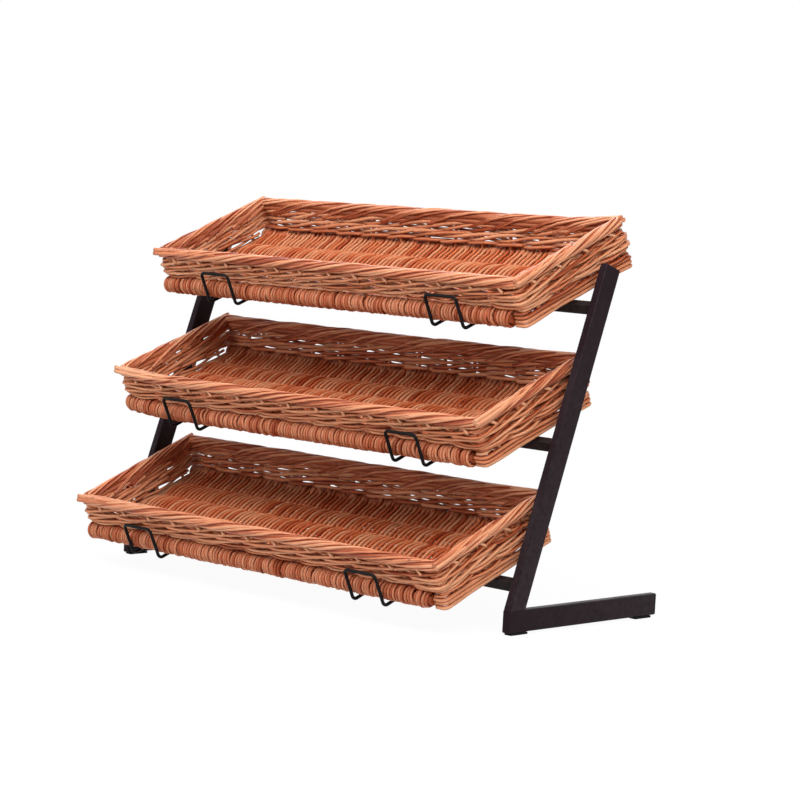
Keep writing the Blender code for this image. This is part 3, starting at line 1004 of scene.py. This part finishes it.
    def build_end(self, side: Side) -> None:
        """Stack an end's rods: straight between the bars on the left, round both corners on the right.

        Args:
            side: Which end.
        """
        low, high = self.box(f"end_{side.value}")
        radius = (high.z - low.z) / (2 * self.end_rods)
        front, depth = self.base.sides[:2]
        first = front - (self.base.half_x - self.corner - low.x)
        last = front + depth + 2 * self.base.bend + front - first
        self.rods = RodBundle(self.random, 9, self.space.up)
        for index in range(self.end_rods):
            height = low.z + radius * (2 * index + 1)
            if side is Side.LEFT:
                y = np.linspace(low.y - self.end_tuck, high.y + self.end_tuck, 40)
                plan = rows((low.x + high.x) / 2 + self.drift(y, 0.0006, 0.10), y)
                height = height + self.drift(y, 0.0003, 0.09)
            else:
                start = first + self.random.uniform(0.0, self.end_trim)
                way = np.linspace(start, last - self.random.uniform(0.0, self.end_trim), 96)
                place, out = self.base.at(way)
                plan = place + (self.drift(way, 0.0005, 0.12) + 0.0005 * (index - 1))[:, None] * out
                height = height + self.drift(way, 0.0003, 0.10)
            self.lay(np.column_stack((plan, height)), radius * self.random.uniform(0.93, 0.99))
        self.finish(f"end_{side.value}", self.end_finish)

    def build_wall(self) -> None:
        """Set the stakes and weave the rounds round them."""
        self.rods = RodBundle(self.random, 8, self.space.up)
        height = np.linspace(self.wall_foot - self.stake_foot, self.rim_height - self.rope, 8)
        for index in range(self.stakes):
            place = (index + 0.5 + self.random.normal(0.0, 0.03)) * self.spacing
            way = np.full(len(height), place)
            line = self.around(way, self.drift(height, 0.0004, 0.05), height)
            self.lay(line, self.stake_radius * self.random.uniform(0.9, 1.05))
        bottom = self.wall_foot + self.foot_gap
        strands = sum(weave.value[0] // 2 for weave in self.rounds)
        step = (self.rim_height - 2 * self.rope - self.border_gap - bottom) / strands
        for weave in self.rounds:
            rods = weave.value[0]
            start = int(self.random.integers(0, self.stakes))
            for rod in range(rods):
                self.weave(weave, bottom + step * rods / 4, step, start + rod)
            bottom += step * rods / 2
        for side in Side:
            self.pack_end(side)
        self.finish("wall", self.wall_finish)

    def weave(self, weave: Weave, middle: float, step: float, start: int) -> None:
        """Weave one weaver of a round from several rods: behind half its stakes, before the others.

        Args:
            weave: How the round is woven.
            middle: Height of the round's middle.
            step: Height between strands.
            start: Stake behind which the weaver starts.
        """
        rods, rise, lift = weave.value
        end = start + self.stakes
        while start < end:
            stop = min(end, start + rods * int(self.random.integers(2, 5)))
            steps = np.arange(start - 0.45, stop + 0.55, 1 / 10)
            turn = 2 * math.pi * (steps - start + 0.5 - rods / 4) / rods
            swing = -1.20 * np.cos(turn) + 0.16 * np.cos(3 * turn) + 0.20 * np.sin(turn)
            way = (steps + 0.5) * self.spacing
            outset = swing * (self.stake_radius + self.strand_radius) * 0.90 * self.slack(way)
            outset += self.drift(way, 0.0004, 0.11)
            height = middle + step * (lift * np.cos(turn) - rise * np.sin(turn))
            height = height + self.drift(way, 0.0006, 0.13)
            radius = self.strand_radius * self.random.uniform(0.88, 1.06)
            radius = radius * np.linspace(1.05, 0.93, len(steps)) * (1.0 + self.inner_stout * np.cos(turn))
            self.lay(self.around(way, outset, height), radius)
            start = stop

    def pack_end(self, side: Side) -> None:
        """Weave rods in and out of an end's stakes, from bar to bar, below the lowest round.

        Args:
            side: Which end.
        """
        sides = self.rim.sides
        middle = float(sides[0] + self.rim.bend + sides[1] / 2)
        reach = float(sides[1]) / 2 - self.bar_radius
        if side is Side.LEFT:
            middle += self.rim.length / 2
        else:
            reach += self.bar_radius + self.rim.half_x - self.box("front_bar")[1].x
        base = self.box(f"end_{side.value}")[1].z
        pitch = (self.wall_foot + self.foot_gap - base) / self.packing_rods
        for index in range(self.packing_rods):
            ends = reach - self.random.uniform(0.0, 0.003, 2)
            way = np.linspace(middle - ends[0], middle + ends[1], 80)
            turn = math.pi * (way / self.spacing - 0.5 + index)
            outset = np.cos(turn) * (self.stake_radius + self.strand_radius) * self.slack(way)
            height = base + (index + 0.5) * pitch + self.drift(way, 0.0005, 0.11)
            line = self.around(way, outset + self.drift(way, 0.0003, 0.11), height)
            self.lay(line, pitch / 2 * self.random.uniform(0.94, 1.04))

    def build_border(self) -> None:
        """Roll the border: two rods at each stake rise outside, cross over the top and wind on inside."""
        self.rods = RodBundle(self.random, 9, seam=self.border_crevice_shade)
        centre = self.rim_height - self.rope
        reach = self.rope - self.border_radius
        for index in range(2 * self.stakes):
            pace = self.border_turn * self.random.uniform(0.85, 1.15)
            steps = np.linspace(0.0, self.border_wrap / pace, 48)
            turn = np.radians(-80.0 + pace * steps + self.random.normal(0.0, 5.0))
            way = (index / 2 + 0.5 + steps) * self.spacing
            around = reach * (1.0 + self.drift(way, 0.06, 0.10))
            tail = np.clip((turn - math.pi) / math.radians(self.border_wrap - 260.0), 0.0, 1.2)
            turn = np.minimum(turn, math.pi)
            height = centre + around * np.sin(turn) - self.border_tail * tail
            line = self.around(way, around * np.cos(turn) * (1.0 + 0.28 * tail), height)
            radius = self.border_radius * self.random.uniform(0.88, 1.10)
            core = self.placed(self.around(way, 0.0, centre))
            self.lay(line, radius * np.linspace(1.05, 0.80, len(steps)), core=core)
        way = np.linspace(0.0, self.rim.length, 240, endpoint=False)
        # Two cores inside the border, given a dark tone as painted shade in the gaps between its rods.
        for drop, inward, thickness in ((0.0, 0.0, 0.70), (0.75, 0.0026, 0.42)):
            outset = self.drift(way, 0.0003, self.rim.length / 5) - inward
            line = self.around(way, outset, centre - drop * self.rope)
            self.lay(line, thickness * self.rope, closed=True, tint=0.1)
        self.add_stubs(centre - self.rope)
        self.add_butts(centre, reach)
        self.finish("border", self.border_finish)

    def add_stubs(self, height: float) -> None:
        """Let a rod's cut end come out of the border beside each stake.

        Args:
            height: Height of the border's underside.
        """
        outset = np.array((0.0005, 0.0026, 0.0038, 0.0042))
        heights = height + np.array((0.0030, 0.0012, -0.0016, -0.0040))
        for index in range(self.stakes):
            slant = self.stub_slant * self.random.uniform(0.7, 1.2)
            place = index + 0.5 + self.random.normal(0.0, 0.05)
            way = (place + np.array((-1.0, -0.3, 0.4, 1.0)) * slant) * self.spacing
            radius = self.border_radius * self.random.uniform(0.80, 0.95)
            self.lay(self.around(way, outset, heights), radius, tint=self.random.uniform(0.55, 0.95))

    def add_butts(self, centre: float, reach: float) -> None:
        """Start two rods at each corner, whose butts stand out past it before they run along the next side.

        Args:
            centre: Height of the border's middle.
            reach: Distance of its rods from that middle.
        """
        lengths = self.rim.sides
        starts = np.concatenate(([0.0], np.cumsum(lengths + self.rim.bend)[:3]))
        for side, start in enumerate(starts):
            heading = np.array((math.cos(side * QUARTER), math.sin(side * QUARTER)))
            place, out = self.rim.at(np.array([start + 0.001]))
            for angle in (5.0, 52.0):
                length = min(self.butt_run, 0.6 * float(lengths[side])) * self.random.uniform(0.85, 1.0)
                stands = self.butt_length * self.random.uniform(0.6, 1.1)
                back = self.corner + self.rope + (stands if place[0, 0] < 0.0 else -self.border_radius)
                way = np.linspace(-back, length, 30)
                share = np.clip(way / length, 0.0, 1.0)
                turn = np.radians(angle + 40.0 * share)
                around = reach * (1.08 - 0.25 * share)
                plan = place + way[:, None] * heading + (around * np.cos(turn))[:, None] * out
                line = np.column_stack((plan, centre + around * np.sin(turn)))
                self.lay(line, self.border_radius * np.linspace(1.30, 0.85, len(way)))


@dataclass(frozen=True)
class Studio:
    """White studio: a pale floor, soft lamps and a camera at the photograph's viewing angle."""

    eye: tuple[float, float, float] = (2.1803, -2.18471, 0.49097)
    yaw: float = 44.02  # degrees to the left of the stand's depth
    pitch: float = 4.84  # degrees downwards
    roll: float = 3.05  # degrees about the view
    focal: float = 116.06  # millimetres
    sensor: float = 36.0  # millimetres
    aim: tuple[float, float, float] = (0.0, 0.0, 0.22)  # where the lamps shine
    ambient: float = 0.05  # strength of the light from all round
    floor_size: float = 40.0
    paint: float = 0.78  # grey of the floor as it lights the stand
    shade: float = 0.05  # part of the floor seen that takes a shadow
    glow: float = 0.95  # part of it that shines by itself
    fade: tuple[float, float] = (0.35, 1.3)  # distances over which it turns white

    def build(self) -> None:
        """Set the camera, the lamps, the floor and the background."""
        bpy.context.scene.view_settings.view_transform = "Standard"
        self.set_camera()
        self.hang_lamp("lamp_overhead", (0.35, -1.0, 2.2), 2.0, 52.0)
        self.hang_lamp("lamp_back", (-1.5, 1.4, 2.0), 1.6, 30.0)
        self.hang_lamp("lamp_right", (2.3, -1.1, 2.1), 1.5, 70.0)
        self.hang_lamp("lamp_front", (-1.1, -2.7, 1.9), 1.8, 38.0)
        self.lay_floor()
        self.set_background()

    def set_camera(self) -> None:
        """Point the camera as the photograph was taken."""
        bpy.ops.object.camera_add()
        camera = bpy.context.object
        camera.name = "camera"
        camera.data.lens = self.focal
        camera.data.sensor_width = self.sensor
        turns = ((self.yaw, "Z"), (90.0 - self.pitch, "X"), (self.roll, "Z"))
        place = Matrix.Translation(self.eye)
        for angle, axis in turns:
            place = place @ Matrix.Rotation(math.radians(angle), 4, axis)
        camera.matrix_world = place
        bpy.context.scene.camera = camera

    def hang_lamp(self, name: str, place: tuple[float, float, float], size: float, power: float) -> None:
        """Hang a square soft lamp that shines at the stand's middle.

        Args:
            name: Name of the lamp.
            place: Where it hangs.
            size: Its width.
            power: Its power in watts.
        """
        bpy.ops.object.light_add(type="AREA", location=place)
        lamp = bpy.context.object
        lamp.name = name
        lamp.data.size = size
        lamp.data.energy = power
        lamp.rotation_euler = (Vector(self.aim) - Vector(place)).to_track_quat("-Z", "Y").to_euler()

    def seen(self, shader: Shader) -> Socket:
        """Add nodes that tell what is seen, straight on or in a gloss, from what lights the scene.

        Args:
            shader: Graph that takes them.

        Returns:
            A value of 1 where the ray is seen.
        """
        total = shader.add("LightPath", out="Is Camera Ray")
        rays = total.node.outputs
        for name in ("Is Glossy Ray", "Is Transmission Ray"):
            total = shader.add("Math", {0: total, 1: rays[name]}, operation="MAXIMUM")
        return total

    def lay_floor(self) -> None:
        """Lay a floor that keeps a faint shadow and fades to white away from the stand."""
        bpy.ops.object.select_all(action="DESELECT")
        bpy.ops.mesh.primitive_plane_add(size=self.floor_size)
        floor = bpy.context.object
        floor.name = "studio_floor"
        shader = Shader(bpy.data.materials.new("studio_floor"))
        nodes = shader.tree.nodes
        nodes.remove(nodes["Principled BSDF"])
        paint = shader.add("BsdfDiffuse", {"Color": (self.paint, self.paint, self.paint, 1.0)})
        shade = shader.add("BsdfDiffuse", {"Color": (self.shade, self.shade, self.shade, 1.0)})
        near = shader.add("AddShader", {0: shade, 1: shader.add("Emission", {"Strength": self.glow})})
        place = shader.add("TexCoord", out="Object")
        distance = shader.add("VectorMath", {0: place}, "Value", operation="LENGTH")
        fade = shader.spread(distance, self.fade, 0.0, 1.0)
        ground = shader.add("MixShader", {0: fade, 1: near, 2: shader.add("Emission")})
        choice = shader.add("MixShader", {0: self.seen(shader), 1: paint, 2: ground})
        shader.feed(nodes["Material Output"], {"Surface": choice})
        floor.data.materials.append(shader.owner)

    def set_background(self) -> None:
        """Make the background white where it is seen, and a plain soft light elsewhere."""
        shader = Shader(bpy.data.worlds.new("studio"))
        bpy.context.scene.world = shader.owner
        strength = shader.spread(self.seen(shader), (0.0, 1.0), self.ambient, 1.0)
        white = (1.0, 1.0, 1.0, 1.0)
        shader.feed(shader.tree.nodes["Background"], {"Color": white, "Strength": strength})


def main() -> None:
    """Build the stand's looks and the studio round it."""
    logging.basicConfig(level=logging.INFO, format="%(name)s: %(message)s")
    for side in Side:
        SideFrame(side=side).build()
    for tier in Tier:
        TierCarrier(tier=tier).build()
    Basket(Tier.BOTTOM, 21).build()
    Basket(Tier.MIDDLE, 22, (0.0055, 0.0, 0.0, 0.0015), 0.005).build()
    Basket(Tier.TOP, 23, (0.0, 0.0, 0.0040, 0.0), 0.009).build()
    Studio().build()


if __name__ == "__main__":
    main()
